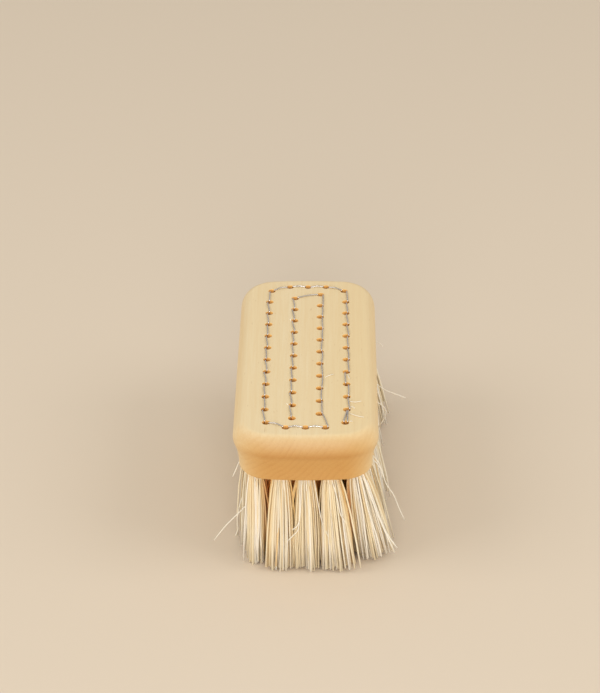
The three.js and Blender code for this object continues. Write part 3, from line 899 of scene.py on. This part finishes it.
def drawn_steel_wire():
    """Drawn steel wire, dulled by handling: grey with small white highlights on the bends, and a few darker
    patches of old oil."""
    patch_size = 2.5 * MM
    material, shader = new_material("drawn_steel_wire")
    place = add(material, "ShaderNodeTexCoord", {}).outputs["Object"]
    patches = add(material, "ShaderNodeTexNoise", {"Vector": place, "Scale": 1 / patch_size, "Detail": 3.0})
    colour = add(material, "ShaderNodeMix", {
        0: patches.outputs["Fac"], 6: linear("#E8E4E2"), 7: linear("#B7B0AE")}, data_type="RGBA")
    join(material, colour.outputs[2], shader.inputs["Base Color"])
    gloss = add(material, "ShaderNodeMapRange", {
        "Value": patches.outputs["Fac"], "To Min": 0.18, "To Max": 0.34})
    join(material, gloss.outputs[0], shader.inputs["Roughness"])
    shader.inputs["Metallic"].default_value = 1.0
    return material


wire_path = rounded(wire_corners())[None]
wire_radii = np.full(wire_path.shape[:2], wire_radius)
wire_points = rods(wire_path[..., :3], wire_radii, wire_path[..., 3:], wire_sides)
wire = new_object("wire", wire_points, rod_faces(point_numbers(wire_points)), drawn_steel_wire())
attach(wire, "root")
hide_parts("drawing_wire")

# The floor and the light
# A plain pale floor, three soft lamps around the front of the brush, and an even surround.

floor_size = 4.0
floor_points = np.array([[-1, -1, 0], [1, -1, 0], [1, 1, 0], [-1, 1, 0]]) * floor_size / 2
floor_material, floor_shader = new_material("pale_floor")
floor_shader.inputs["Base Color"].default_value = linear("#E2D2BC")
floor_shader.inputs["Roughness"].default_value = 0.9
floor = new_object("floor", floor_points, [[0, 1, 2, 3]], floor_material)

lamp_target = Vector((0, 0, 0.02))  # inside the brush, about halfway up


def soft_lamp(name, place, width, height, watts):
    """A rectangular lamp that faces the brush."""
    light = bpy.data.lights.new(name, "AREA")
    light.shape = "RECTANGLE"
    light.size = width
    light.size_y = height
    light.energy = watts
    lamp = bpy.data.objects.new(name, light)
    lamp.location = place
    lamp.rotation_euler = (lamp_target - lamp.location).to_track_quat("-Z", "Y").to_euler()
    bpy.context.scene.collection.objects.link(lamp)


soft_lamp("front_lamp", place=(0, -1.2, 0.4), width=0.6, height=0.5, watts=6.6)
soft_lamp("left_lamp", place=(-1.0, -0.29, 0.85), width=0.8, height=0.6, watts=3.8)
soft_lamp("right_lamp", place=(1.0, -0.29, 0.85), width=0.8, height=0.6, watts=3.8)

surround = bpy.data.worlds.new("even_surround")
surround.use_nodes = True
surround.node_tree.nodes["Background"].inputs["Color"].default_value = linear("#FFFBF5")
surround.node_tree.nodes["Background"].inputs["Strength"].default_value = 0.6
bpy.context.scene.world = surround
bpy.context.scene.view_settings.view_transform = "Standard"

# The camera
# It looks down on the front end from where the photograph was taken. Its place and focal length were fitted
# to the block's outline and the drilled pattern.

image_height = 693  # pixels
focal_pixels = 2450
film_height = 36  # millimetres, along the longer side of the picture
distance = 700.656 * MM
elevation, turn, roll = np.radians([28.849, 0.837, -0.367])
shift_left = 1.952 * MM
shift_up = 2.032 * MM
nearest_seen = 0.01
aim = np.array([0, 0, back])
away = np.array([np.sin(turn) * np.cos(elevation), -np.cos(turn) * np.cos(elevation), np.sin(elevation)])
level_right = np.cross(-away, [0, 0, 1])
level_right /= np.linalg.norm(level_right)
level_up = np.cross(level_right, -away)
right = np.cos(roll) * level_right + np.sin(roll) * level_up
up = np.cos(roll) * level_up - np.sin(roll) * level_right
stand = aim + away * distance - right * shift_left + up * shift_up

camera_lens = bpy.data.cameras.new("camera")
camera_lens.sensor_width = film_height
camera_lens.lens = focal_pixels * film_height / image_height
camera_lens.clip_start = nearest_seen
camera = bpy.data.objects.new("camera", camera_lens)
camera.matrix_world = Matrix(np.vstack([np.stack([right, up, away, stand], -1), [0, 0, 0, 1]]).tolist())
bpy.context.scene.collection.objects.link(camera)
bpy.context.scene.camera = camera
